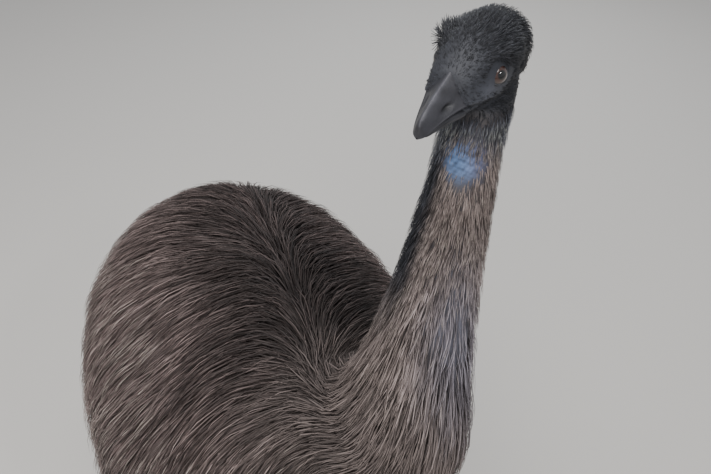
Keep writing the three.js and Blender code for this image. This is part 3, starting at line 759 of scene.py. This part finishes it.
def skin_colour(points):
    """The colour of the skin between the tufts and where it is bare."""
    _, neck, head = region(points)
    throat, side = bare(points)
    local = to_head(points)
    cheek = np.exp(-((local[:, 0] - 0.020) / 0.022) ** 2 - ((local[:, 2] + 0.010) / 0.012) ** 2)
    crease = np.abs(local[:, 2] - gape_height(local[:, 0])) + 0.004 * (local[:, 0] < GAPE_X[0])
    # Painted shade: the face's skin is darkened along the mouth's crease
    face = SLATE * (1 + 2.0 * cheek)[:, None] * (1 - 0.75 * fade(crease, 0.0014))[:, None]
    colour = by_region(neck, head, BODY_SKIN, NECK_SKIN, face)
    mottle = 0.5 + 0.5 * noise(points, 0.016, 11)
    fleck = 0.5 + 0.5 * noise(points, 0.006, 12)
    violet = ease(points[:, 0], THROAT[0], THROAT[0] + 0.022)
    blue = blend(THROAT_BLUE, THROAT_VIOLET, violet) * (0.30 + 0.5 * mottle + 0.9 * fleck)[:, None]
    grey = SIDE_GREY * (0.5 + 0.9 * mottle)[:, None]
    return blend(blend(colour, blue, throat), grey, side)


def node(tree, kind, **inputs):
    """A new node with values for some of its inputs, whose names have _ for a space."""
    made = tree.nodes.new(kind)
    for key, value in inputs.items():
        made.inputs[key.replace("_", " ")].default_value = value
    return made


def calculated(tree, operation, *terms):
    """The result of a calculation whose terms are sockets or numbers."""
    made = node(tree, "ShaderNodeMath")
    made.operation = operation
    for socket, term in zip(made.inputs, terms):
        if isinstance(term, float):
            socket.default_value = term
        else:
            tree.links.new(term, socket)
    return made.outputs[0]


def bare_material(name, roughness, specular):
    """A new material with its tree and its shader."""
    material = bpy.data.materials.new(name)
    material.use_nodes = True
    tree = material.node_tree
    shader = tree.nodes["Principled BSDF"]
    shader.inputs["Roughness"].default_value = roughness
    shader.inputs["Specular IOR Level"].default_value = specular
    return material, tree, shader


def grain_group():
    """Fine grain from Object coordinates: a value about 1 and a height, at a size in metres."""
    group = bpy.data.node_groups.new("grain", "ShaderNodeTree")
    sockets = {"Size": "INPUT", "Strength": "INPUT", "Tone": "OUTPUT", "Height": "OUTPUT"}
    for label, way in sockets.items():
        group.interface.new_socket(name=label, in_out=way, socket_type="NodeSocketFloat")
    start = group.nodes.new("NodeGroupInput")
    end = group.nodes.new("NodeGroupOutput")
    place = group.nodes.new("ShaderNodeTexCoord")
    texture = node(group, "ShaderNodeTexNoise", Detail=4.0, Roughness=0.6)
    group.links.new(place.outputs["Object"], texture.inputs["Vector"])
    group.links.new(calculated(group, "DIVIDE", 1.0, start.outputs["Size"]), texture.inputs["Scale"])
    centred = calculated(group, "SUBTRACT", texture.outputs["Fac"], 0.5)
    tone = calculated(group, "MULTIPLY_ADD", centred, start.outputs["Strength"], 1.0)
    group.links.new(tone, end.inputs["Tone"])
    group.links.new(texture.outputs["Fac"], end.inputs["Height"])
    return group


grain = grain_group()


def grained(tree, shader, colour_socket, size, strength, bump_distance):
    """Base colour times a grain, with the same grain as a bump."""
    grains = tree.nodes.new("ShaderNodeGroup")
    grains.node_tree = grain
    grains.inputs["Size"].default_value = size
    grains.inputs["Strength"].default_value = strength
    scaled = tree.nodes.new("ShaderNodeVectorMath")
    scaled.operation = "SCALE"
    tree.links.new(colour_socket, scaled.inputs[0])
    tree.links.new(grains.outputs["Tone"], scaled.inputs["Scale"])
    tree.links.new(scaled.outputs[0], shader.inputs["Base Color"])
    relief = node(tree, "ShaderNodeBump", Strength=0.6, Distance=bump_distance)
    tree.links.new(grains.outputs["Height"], relief.inputs["Height"])
    tree.links.new(relief.outputs["Normal"], shader.inputs["Normal"])


def painted_colour(tree):
    """The socket with the colours that paint has given to the points."""
    colour = tree.nodes.new("ShaderNodeAttribute")
    colour.attribute_name = "coat"
    return colour.outputs["Color"]


def coat_material(name, roughness, specular, size=0.004, strength=0.5):
    """A material in the points' own colours, with grain."""
    material, tree, shader = bare_material(name, roughness, specular)
    grained(tree, shader, painted_colour(tree), size, strength, 0.0006)
    return material


def plain_material(name, colour, roughness, specular, size, strength):
    """A material in one mottled colour, with a fine grain."""
    material, tree, shader = bare_material(name, roughness, specular)
    base = tree.nodes.new("ShaderNodeTexNoise")
    base.inputs["Scale"].default_value = 0.3 / size
    place = tree.nodes.new("ShaderNodeTexCoord")
    tree.links.new(place.outputs["Object"], base.inputs["Vector"])
    ramp = tree.nodes.new("ShaderNodeValToRGB")
    for stop, (position, tone) in zip(ramp.color_ramp.elements, ((0.35, 0.62), (0.68, 1.35))):
        stop.position = position
        stop.color = [tone * c for c in colour] + [1]
    tree.links.new(base.outputs["Fac"], ramp.inputs["Fac"])
    grained(tree, shader, ramp.outputs["Color"], size, strength, 0.0002)
    return material


# The skin, then the coats rooted on it
skin_form = body_skin()
skin_surface = Surface(skin_form.copy())
skin_material = coat_material("skin", 0.62, 0.35, size=0.003, strength=0.5)
skin = finished("skin", skin_form, skin_material)
paint(skin, skin_colour(places_of(skin)))

head_form = head_skin()
head_surface = Surface(head_form.copy())
head_material = coat_material("head_hide", 0.55, 0.4, size=0.0018)
head_piece = finished("head_skin", head_form, head_material)
paint(head_piece, skin_colour(places_of(head_piece)))
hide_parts("torso", "tail", "neck_lower", "thigh_left", "thigh_right")
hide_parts("head", "neck_upper")


def root_map(points):
    """Each root's place on an unwrap of the skin: body below, neck and head above it."""
    place, neck, head = region(points)
    local = to_head(points)
    turn = np.arctan2(points[:, 0], points[:, 2] - BODY_CENTRE[2]) / (2 * math.pi) + 0.5
    body = np.stack([turn * 0.98, (points[:, 1] + 0.42) / 0.96 * 0.6], axis=1)
    round_neck = neck_turn(points, place) / (2 * math.pi) + 0.5
    neck_uv = np.stack([round_neck * 0.48, 0.63 + 0.35 * place], axis=1)
    round_head = np.arctan2(local[:, 1], local[:, 2]) / (2 * math.pi) + 0.5
    up_head = 0.63 + 0.35 * np.clip((local[:, 0] + 0.08) / 0.14, 0, 1)
    head_uv = np.stack([0.50 + round_head * 0.48, up_head], axis=1)
    uv = np.where((neck > 0.5)[:, None], neck_uv, body)
    return np.where((head > 0.5)[:, None], head_uv, uv)


def coat(name, surface, count, weight, sizes, seed, material, per_lock, strength, pieces, pale,
         steps=5):
    """A coat of tufts over part of a skin, in pieces small enough to export.

    Tufts are gathered into locks of about per_lock by a strength. Some of the finer ones have pale
    tips, by the share in pale. Each is darker at its root, and each lock has a tone of its own.
    """
    random = np.random.default_rng(seed)
    roots, normals = surface.scatter(count, weight, random)
    length, lift, width, thick, droop = sizes(roots, random)
    paths, outs = grow(surface, roots, normals, length, lift, random, droop, steps)
    paths, lock = gathered(paths, random, per_lock, strength)
    paths[:, :, 2] = np.maximum(paths[:, :, 2], HEM_HEIGHT)
    base = plumage_colour(roots)
    lock_tone = np.random.default_rng(seed + 1).uniform(0.72, 1.3, lock.max() + 1)[lock]
    tone = lock_tone * random.uniform(0.6, 1.45, count)
    fine = width < np.median(width)
    tipped = (fine & (random.random(count) < pale)) * random.uniform(0.35, 1.0, count) ** 0.7
    t = np.linspace(0, 1, steps)[None, :, None]
    colours = base[:, None] * tone[:, None, None] * (0.42 + 0.75 * ease(t, 0.0, 0.7))
    pale_colour = np.minimum(base * 4.6, PALE)[:, None]
    share = tipped[:, None, None] * ease(t, 0.48, 0.85)
    colours = colours * (1 - share) + pale_colour * share
    uv = root_map(roots)
    order = np.argsort(uv[:, 1], kind="stable")
    for i, rows in enumerate(np.array_split(order, pieces)):
        tuft_mesh(f"{name}_{i + 1}", paths[rows], outs[rows], width[rows], thick[rows], colours[rows],
                  uv[rows], material)


def body_weight(points, normals):
    """How thickly the body's tufts stand: most on the parting, few underneath, none on the neck."""
    _, neck, head = region(points)
    _, near = parting(points)
    under = ease(-normals[:, 2], 0.55, 0.9)
    leg = 1 - ease(points[:, 2], 0.45, 0.47)
    high = ease(points[:, 2], 0.96, 1.02)
    on_body = (1 - ease(neck, 0.3, 0.8)) * (1 - head)
    return on_body * (1 - 0.85 * under) * (1 - leg) * (1 - high) * (1 + 1.6 * near)


def body_sizes(roots, random):
    """Length, lift, width and thickness of the body's tufts, and which of them may hang free."""
    count = len(roots)
    thigh = 1 - ease(roots[:, 2], 0.52, 0.56)
    chest = 1 - ease(roots[:, 1], -0.32, -0.12)
    rump = ease(roots[:, 1], 0.25, 0.45)
    length = (BODY_LENGTH + 0.03 * rump) * random.uniform(0.75, 1.2, count) * (1 - 0.55 * thigh)
    broad = random.random(count) < 0.4
    lift = (BODY_LIFT - 0.012 * chest + 0.006 * rump) * random.uniform(0.55, 1.1, count)
    lift *= 1 - 0.75 * thigh
    lift[broad] *= 0.76
    width = np.where(broad, 0.0052, 0.0023) * random.uniform(0.7, 1.3, count)
    return length, lift, width, width * 0.35, thigh < 0.5


def neck_weight(points, _normals):
    """How thickly the neck's tufts stand: more towards the head, few on the bare skin."""
    place, neck, _ = region(points)
    throat, side = bare(points)
    up_neck = 1 + 1.6 * ease(place, 0.4, 0.7) + 1.8 * ease(place, 0.74, 0.82)
    return ease(neck, 0.25, 0.8) * up_neck * (1 - 0.82 * throat) * (1 - 0.8 * side)


def neck_sizes(roots, random):
    count = len(roots)
    place, _ = neck_place(roots)
    low = 1 - ease(place, 0.15, 0.62)
    throat, _ = bare(roots)
    rear = ease(np.abs(neck_turn(roots, place)), 1.2, 2.2)
    chin = ease(place, 0.72, 0.84)
    length = (NECK_LENGTH + 0.085 * low) * (1 - 0.5 * throat) * (1 - 0.35 * chin) * (1 + 0.5 * rear)
    length *= random.uniform(0.7, 1.3, count)
    lift = (NECK_LIFT + 0.016 * low) * (1 - 0.7 * throat) * (1 + 0.5 * rear)
    lift *= random.uniform(0.4, 1.3, count)
    width = (0.0010 + 0.0014 * low) * (1 - 0.25 * chin) * random.uniform(0.6, 1.4, count)
    return length, lift, width, width * 0.4, np.zeros(count, bool)


def head_weight(points, _normals):
    """How thickly the head's bristles stand: none on the eyes, few on the face and the cheeks."""
    local = to_head(points)
    _, _, head = region(points)
    eye = np.hypot(local[:, 0] - EYE_CENTRE[0], local[:, 2] - EYE_CENTRE[2])
    around_eye = ease(eye, 0.0125, 0.0165) + (np.abs(local[:, 1]) < 0.015)
    face = 1.3 - 0.8 * ease(local[:, 0], 0.020, 0.042)
    cheek = np.exp(-((local[:, 0] - 0.022) / 0.022) ** 2 - ((local[:, 2] + 0.012) / 0.012) ** 2)
    return np.clip(head, 0, 1) * np.minimum(around_eye, 1) * face * (1 - 0.75 * cheek)


def head_sizes(roots, random):
    count = len(roots)
    local = to_head(roots)
    face = ease(local[:, 0], -0.030, 0.030)
    crown = ease(local[:, 2], 0.0, 0.03)
    nape = ease(-local[:, 0], 0.03, 0.06)
    length = (HEAD_LENGTH - 0.009 * face + 0.006 * nape) * random.uniform(0.7, 1.35, count)
    brow = np.exp(-((np.abs(local[:, 1]) - 0.032) / 0.008) ** 2 - ((local[:, 0] + 0.002) / 0.020) ** 2)
    brow *= ease(local[:, 2], 0.010, 0.020) * (1 - 0.75 * (local[:, 1] > 0))
    lift = HEAD_LIFT + 0.003 * crown * (1 - face) + 0.005 * nape + 0.010 * brow
    lift *= random.uniform(0.3, 1.5, count)
    width = (0.00085 - 0.0003 * face) * random.uniform(0.7, 1.3, count)
    return length, lift, width, width * 0.5, np.zeros(count, bool)


plume_material = coat_material("plumage", 0.58, 0.28)
fine_material = coat_material("fine_plumage", 0.6, 0.25)
bristle_material = coat_material("head_bristles", 0.5, 0.35)
coat("body_coat", skin_surface, BODY_TUFTS, body_weight, body_sizes, seed=21, material=plume_material,
     per_lock=16, strength=0.4, pieces=5, pale=0.42)
coat("neck_coat", skin_surface, NECK_TUFTS, neck_weight, neck_sizes, seed=31, material=fine_material,
     per_lock=10, strength=0.3, pieces=2, pale=0.5)
coat("head_coat", head_surface, HEAD_TUFTS, head_weight, head_sizes, seed=41, material=bristle_material,
     per_lock=8, strength=0.25, pieces=2, pale=0.1, steps=4)


bill_half = smooth_curve(BILL_X, BILL_HALF)
bill_top = smooth_curve(BILL_X, BILL_TOP)
bill_edge = smooth_curve(BILL_X, BILL_EDGE)
lower_half = smooth_curve(LOWER_X, LOWER_HALF)
lower_bottom = smooth_curve(LOWER_X, LOWER_BOTTOM)


def nostril_slit(x, z):
    """Distance from the nostril's slit, which slopes down towards the tip."""
    return np.hypot((x - NOSTRIL_X) / 2.1, (z - NOSTRIL_Z + 0.25 * (x - NOSTRIL_X)) / 0.8)


def upper_bill_point(t, turn):
    """A culmen ridge over hollow sides that flare to the mouth's edge, with a slit each side."""
    x = between(BILL_X[0], BILL_X[-1], t)
    closing = rounded(x - BILL_X[0], BILL_ROUNDING)
    high = float(bill_top(x))
    low = float(bill_edge(x))
    half = float(bill_half(x)) * closing
    tip = ease(x, 0.080, 0.098)
    around = math.cos(turn)
    if around < -0.55:
        y = half * math.sin(turn) / math.sin(math.acos(-0.55))
        z = low + (high - low) * 0.06 * (1 + around) / 0.45
    else:
        rise = 0.06 + 0.94 * (around + 0.55) / 1.55
        wide = (1 - rise) ** (0.85 - 0.25 * tip) + 0.16 * math.sqrt(max(1 - rise, 0)) * rise ** 2
        y = math.copysign(half * wide, math.sin(turn))
        z = low + (high - low) * rise
    z = low + (z - low) * closing
    sunk = NOSTRIL_DEEP * bump(nostril_slit(x, z), 0.0030)
    y -= math.copysign(sunk, y) * ease(abs(y), 0.003, 0.007)
    return from_head([x, y, z])


def lower_bill_point(t, turn):
    x = between(LOWER_X[0], LOWER_X[-1], t)
    high = float(bill_edge(x)) - BILL_GAP
    low = float(lower_bottom(x))
    middle = low + 0.55 * (high - low)
    closing = rounded(x - LOWER_X[0], BILL_ROUNDING)
    y, z = section(turn, float(lower_half(x)), high, low, middle, closing)
    return from_head([x, y, z])


def horn_colour(piece):
    """Dark horn, with painted shade in the nostril's slit and a painted highlight along the culmen and the
    mouth's edge.
    """
    local = to_head(places_of(piece))
    slit = nostril_slit(local[:, 0], local[:, 2])
    # Painted highlight along the culmen and the mouth's edge, and painted shade in the nostril's slit
    ridge = fade(local[:, 1], 0.0022) * (local[:, 2] > -0.016)
    edge = fade(local[:, 2] - bill_edge(local[:, 0]), 0.0016)
    tone = (1 + 0.25 * noise(local, 0.02, 17)) * (1 + 0.9 * ridge + 0.6 * edge)
    return HORN * (tone * (1 - 0.85 * fade(slit, 0.0026)))[:, None]


horn = coat_material("bill_horn", 0.40, 0.5, 0.0035, 0.4)
upper = closed_form(upper_bill_point, 96, 96)
upper_bill = finished("bill_upper_horn", upper, horn)
paint(upper_bill, horn_colour(upper_bill))
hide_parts("bill_upper")
lower = closed_form(lower_bill_point, 48, 48)
lower_bill = finished("bill_lower_horn", lower, horn)
paint(lower_bill, horn_colour(lower_bill))
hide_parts("bill_lower")


def eye_material():
    """A wet surface in the points' own colours."""
    material, tree, shader = bare_material("wet_eye", 0.06, 0.5)
    tree.links.new(painted_colour(tree), shader.inputs["Base Color"])
    shader.inputs["Coat Weight"].default_value = 1.0
    shader.inputs["Coat Roughness"].default_value = 0.03
    return material


wet_eye = eye_material()
lid_material = plain_material("lid_skin", (0.034, 0.036, 0.043), 0.5, 0.45, 0.0012, 0.7)


def eye_frame(side):
    """Centre, gaze, the way to the front corner and the way up of one eye, in the head's frame."""
    gaze = EYE_GAZE * [1, side, 1]
    up = np.array([0.10, 0.0, 1.0])
    up = unit(up - gaze * (up @ gaze))
    front = np.cross(up, gaze) * side
    front = front if front[0] > 0 else -front
    return EYE_CENTRE * [1, side, 1], gaze, front, up


def eye(side, name):
    """A ball with a red-brown iris round a dark pupil, and the lids round it."""
    centre, gaze, front, up = eye_frame(side)

    def ball_point(t, turn):
        angle = math.pi * t
        way = gaze * math.cos(angle) + (front * math.sin(turn) + up * math.cos(turn)) * math.sin(angle)
        bulge = 1 + CORNEA_BULGE * math.exp(-((angle / 0.45) ** 2))
        return from_head(centre + way * EYE_RADIUS * bulge)

    ball = finished(f"eyeball_{name}", closed_form(ball_point, 64, 64), wet_eye)
    local = to_head(places_of(ball)) - centre
    across = local @ front
    rise = local @ up
    radius = np.hypot(across, rise)
    pupil = 1 - ease(radius, PUPIL_RADIUS, PUPIL_RADIUS + 0.0008)
    rim = ease(radius, IRIS_RADIUS, IRIS_RADIUS + 0.0014)
    turns = np.arctan2(rise, across)
    iris = IRIS * (0.8 + 0.2 * np.sin(turns * 31 + 2 * np.sin(turns * 5)))[:, None]
    paint(ball, iris * (1 - pupil)[:, None] * (1 - 0.9 * rim)[:, None] + 0.003)
    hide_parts(f"eye_{name}")

    def lid_point(t, turn):
        upright = math.radians(LID_UP if math.cos(turn) > 0 else LID_DOWN)
        opening = 1 / math.hypot(math.sin(turn) / math.radians(LID_SIDE), math.cos(turn) / upright)
        angles = [0.0] + [opening + step for step in LID_RIM] + [LID_BACK, math.pi]
        angle = float(np.interp(t, LID_STOPS, angles))
        radius = EYE_RADIUS * float(np.interp(t, LID_STOPS, LID_RADII))
        way = gaze * math.cos(angle) + (front * math.sin(turn) + up * math.cos(turn)) * math.sin(angle)
        return from_head(centre + way * radius)

    finished(f"lids_{name}", closed_form(lid_point, 72, 64), lid_material)


eye(1, "left")
eye(-1, "right")


def toe_axis(side, turn):
    """The way a toe points, turned outward or inward from straight ahead."""
    angle = math.radians(turn) * side
    return np.array([-math.sin(angle), -math.cos(angle), 0.0])


def toe_point(side, foot_x, foot_y, spec, t, turn):
    angle, reach, root, tip, _ = spec
    along = toe_axis(side, angle)
    across = np.array([-along[1], along[0], 0.0])
    place = between(0, 1, t)
    radius = (root + (tip - root) * place) * min(1.0, math.sin(math.pi * t) * 3.2)
    radius *= 1 + TOE_SWELL * math.cos(5 * math.pi * place)
    centre = np.array([foot_x, foot_y, (root + (tip - root) * place) * 0.72]) + along * reach * place
    point = centre + across * radius * math.sin(turn) + UP * radius * math.cos(turn)
    point[2] = max(point[2], 0.0004)
    return point


def pad_point(foot_x, foot_y, t, turn):
    angle = math.pi * t
    x = foot_x + PAD_WIDE * math.sin(angle) * math.sin(turn)
    y = foot_y + 0.002 + PAD_LONG * math.cos(angle)
    return x, y, max(PAD_MIDDLE + PAD_HIGH * math.sin(angle) * math.cos(turn), 0.0004)


def plate_wave(distance, pitch):
    """A saw-like step that makes overlapping plates along a distance."""
    phase = distance / pitch - math.floor(distance / pitch)
    return ease(phase, 0.0, 0.82) - ease(phase, 0.84, 1.0)


def leg_scales(point, normal, foot_x, foot_y):
    """Height of the plates, down the front of the shank and over the tops of the toes."""
    x, y, z = point
    if z > 0.048:
        hock = HOCK_BACK * ease(z, 0.05, HOCK_UP)
        front = -(y - (foot_y + hock)) / 0.02
        return PLATE_HIGH * plate_wave(z, SHANK_PITCH) * ease(front, 0.15, 0.7)
    if normal[2] < 0.2:
        return 0.0
    d = math.hypot(x - foot_x, y - foot_y)
    high = 0.75 * PLATE_HIGH * plate_wave(-d, TOE_PITCH)
    return high * ease(normal[2], 0.2, 0.6) * ease(d, 0.015, 0.03)


scales = coat_material("leg_scales", 0.52, 0.45, 0.0030, 0.9)
claw_material = plain_material("claw_horn", (0.030, 0.027, 0.025), 0.38, 0.5, 0.0030, 0.5)


def leg(name, side, foot_x, foot_y):
    """One scaly shank with its foot, and the three claws."""
    _, shank = leg_rows(side, foot_x, foot_y)
    forms = [
        closed_form(lambda t, turn: limb_point(shank, t, turn), 64, 32),
        closed_form(lambda t, turn: pad_point(foot_x, foot_y, t, turn), 24, 24),
    ]
    for toe in TOES.values():
        forms.append(closed_form(
            lambda t, turn, spec=toe: toe_point(side, foot_x, foot_y, spec, t, turn), 32, 24))
    bm = melted(f"leg_{name}", forms, LEG_VOXEL, 3)
    bm.normal_update()
    heights = np.array([leg_scales(v.co, v.normal, foot_x, foot_y) for v in bm.verts])
    for v, height in zip(bm.verts, heights):
        v.co = v.co + v.normal * float(height)
        v.co.z = max(v.co.z, 0.0)
    piece = finished(f"leg_{name}", bm, scales)
    # Painted shade: the colour follows the plates' height, darker in the grooves between the plates and
    # lighter on their raised edges; it also stays darker where there are no plates
    paint(piece, LEG_SKIN * (0.55 + 0.75 * heights / PLATE_HIGH)[:, None])
    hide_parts(f"shank_{name}", f"foot_{name}")
    for label, toe in TOES.items():
        claw(f"claw_{label}_{name}", side, foot_x, foot_y, toe)


def claw(node_name, side, foot_x, foot_y, spec):
    angle, reach, _, tip, long = spec
    along = toe_axis(side, angle)
    across = np.array([-along[1], along[0], 0.0])

    def point(t, turn):
        closing = min(1.0, math.sin(math.pi * max(t, 0.02)) * 4 + 0.2)
        radius = tip * 0.78 * math.sqrt(max(1 - t, 0)) * closing
        centre = np.array([foot_x, foot_y, tip * 0.70 * (1 - 0.55 * t)])
        centre = centre + along * (reach - CLAW_ROOT + (long + CLAW_ROOT) * t)
        spot = centre + across * radius * 0.8 * math.sin(turn) + UP * radius * math.cos(turn)
        spot[2] = max(spot[2], 0.0003)
        return spot

    piece = finished(f"{node_name}_horn", closed_form(point, 24, 20), claw_material)
    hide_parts(node_name)


for leg_name, (leg_side, leg_x, leg_y) in FEET.items():
    leg(leg_name, leg_side, leg_x, leg_y)


def stage_floor():
    bm = bmesh.new()
    bmesh.ops.create_grid(bm, x_segments=2, y_segments=2, size=14)
    mesh = bpy.data.meshes.new("floor")
    bm.to_mesh(mesh)
    bm.free()
    material, _, shader = bare_material("pale_floor", 0.8, 0.2)
    shader.inputs["Base Color"].default_value = (0.62, 0.60, 0.57, 1)
    mesh.materials.append(material)
    floor = put("floor", mesh)
    floor.location.z = -0.0006


def area_light(name, place, target, size, power, colour):
    data = bpy.data.lights.new(name, "AREA")
    data.shape = "DISK"
    data.size = size
    data.energy = power
    data.color = colour
    lamp = bpy.data.objects.new(name, data)
    bpy.context.scene.collection.objects.link(lamp)
    lamp.location = place
    lamp.rotation_euler = (Vector(target) - Vector(place)).to_track_quat("-Z", "Y").to_euler()


def camera():
    data = bpy.data.cameras.new("camera")
    data.sensor_fit = "HORIZONTAL"
    data.sensor_width = CAMERA_SENSOR
    data.lens = CAMERA_SENSOR * PHOTO_FOCAL / PHOTO_WIDE
    data.clip_start = 0.02
    view = bpy.data.objects.new("camera", data)
    bpy.context.scene.collection.objects.link(view)
    view.location = CAMERA_PLACE + ORIGIN
    level = math.cos(CAMERA_DOWN)
    ahead = Vector((math.sin(CAMERA_TURN) * level, math.cos(CAMERA_TURN) * level, -math.sin(CAMERA_DOWN)))
    view.rotation_euler = ahead.to_track_quat("-Z", "Y").to_euler()
    bpy.context.scene.camera = view


stage_floor()
for light_name, light in LIGHTS.items():
    area_light(light_name, *light)
camera()
world = bpy.data.worlds.new("studio")
world.use_nodes = True
world.node_tree.nodes["Background"].inputs["Color"].default_value = (0.80, 0.82, 0.86, 1)
world.node_tree.nodes["Background"].inputs["Strength"].default_value = 0.55
bpy.context.scene.world = world
